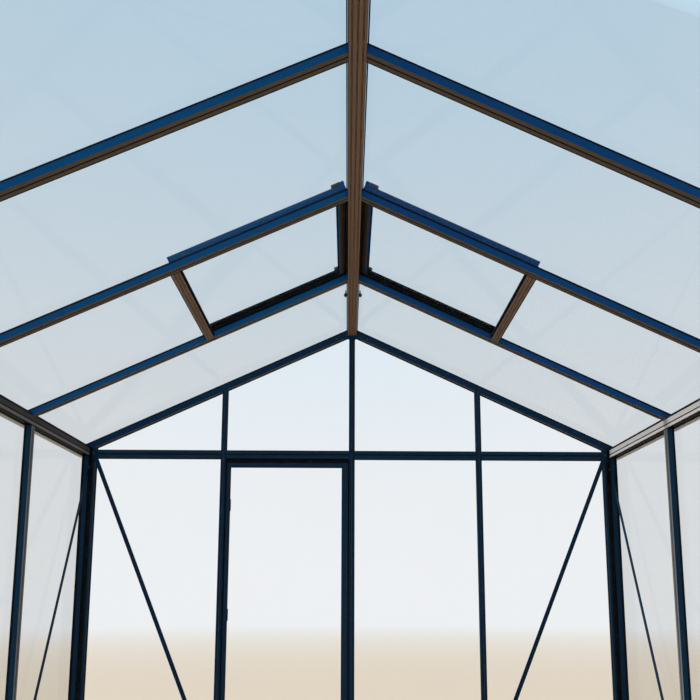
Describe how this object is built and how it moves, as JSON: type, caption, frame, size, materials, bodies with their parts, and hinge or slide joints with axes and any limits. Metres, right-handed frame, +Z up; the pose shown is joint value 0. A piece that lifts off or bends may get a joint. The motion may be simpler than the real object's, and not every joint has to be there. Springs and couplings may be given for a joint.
{
  "type": "glass greenhouse",
  "caption": "Walk-in glass greenhouse with a dark aluminium frame, pitched roof with closed vents, gutters, corner braces and a hinged glazed door in one gable.",
  "frame": {"origin": "on the ground, at the middle of the plan", "axes": "+Z up, the gable with the door faces -Y, the ridge runs along Y"},
  "size_m": [3.189, 4.611, 2.6254],
  "materials": {
    "anthracite_frame": "semi-matt anthracite powder coat on aluminium",
    "clear_glass": "clear toughened float glass, 4 mm",
    "dark_fittings": "black powder coat",
    "black_plastic": "moulded black plastic"
  },
  "bodies": {
    "frame": {"apex_gussets": "anthracite_frame", "corner_post_front_left": "anthracite_frame", "corner_post_front_right": "anthracite_frame", "corner_post_rear_left": "anthracite_frame", "corner_post_rear_right": "anthracite_frame", "door_threshold": "anthracite_frame", "eave_beam_left": "anthracite_frame", "eave_beam_right": "anthracite_frame", "gable_braces": "anthracite_frame", "gable_mullions_front": "anthracite_frame", "gable_mullions_rear": "anthracite_frame", "gable_rafters_front": "anthracite_frame", "gable_rafters_rear": "anthracite_frame", "glass_front": "clear_glass", "glass_left": "clear_glass", "glass_rear": "clear_glass", "glass_right": "clear_glass", "glass_roof_left": "clear_glass", "glass_roof_right": "clear_glass", "gutter_end_plates": "black_plastic", "gutter_outlets": "black_plastic", "hinges_fixed": "dark_fittings", "rafters_left": "anthracite_frame", "rafters_right": "anthracite_frame", "ridge_beam": "anthracite_frame", "ridge_cap": "anthracite_frame", "side_braces": "anthracite_frame", "sill_front": "anthracite_frame", "sill_left": "anthracite_frame", "sill_rear": "anthracite_frame", "sill_right": "anthracite_frame", "transoms_front": "anthracite_frame", "transoms_rear": "anthracite_frame", "vent_frames_left": "anthracite_frame", "vent_frames_right": "anthracite_frame", "vent_glass": "clear_glass", "vent_trimmers": "anthracite_frame", "wall_bars_left": "anthracite_frame", "wall_bars_right": "anthracite_frame"},
    "door": {"door_stiles": "anthracite_frame", "door_rails": "anthracite_frame", "door_glass": "clear_glass", "hinges_moving": "dark_fittings", "door_handle": "dark_fittings"}
  },
  "joints": [
    {"name": "door_hinge", "type": "hinge", "parent": "frame", "child": "door", "pos_m": [0.722, -2.2645, 0.914], "axis": [0, 0, 1], "range_deg": [0, 110]}
  ]
}
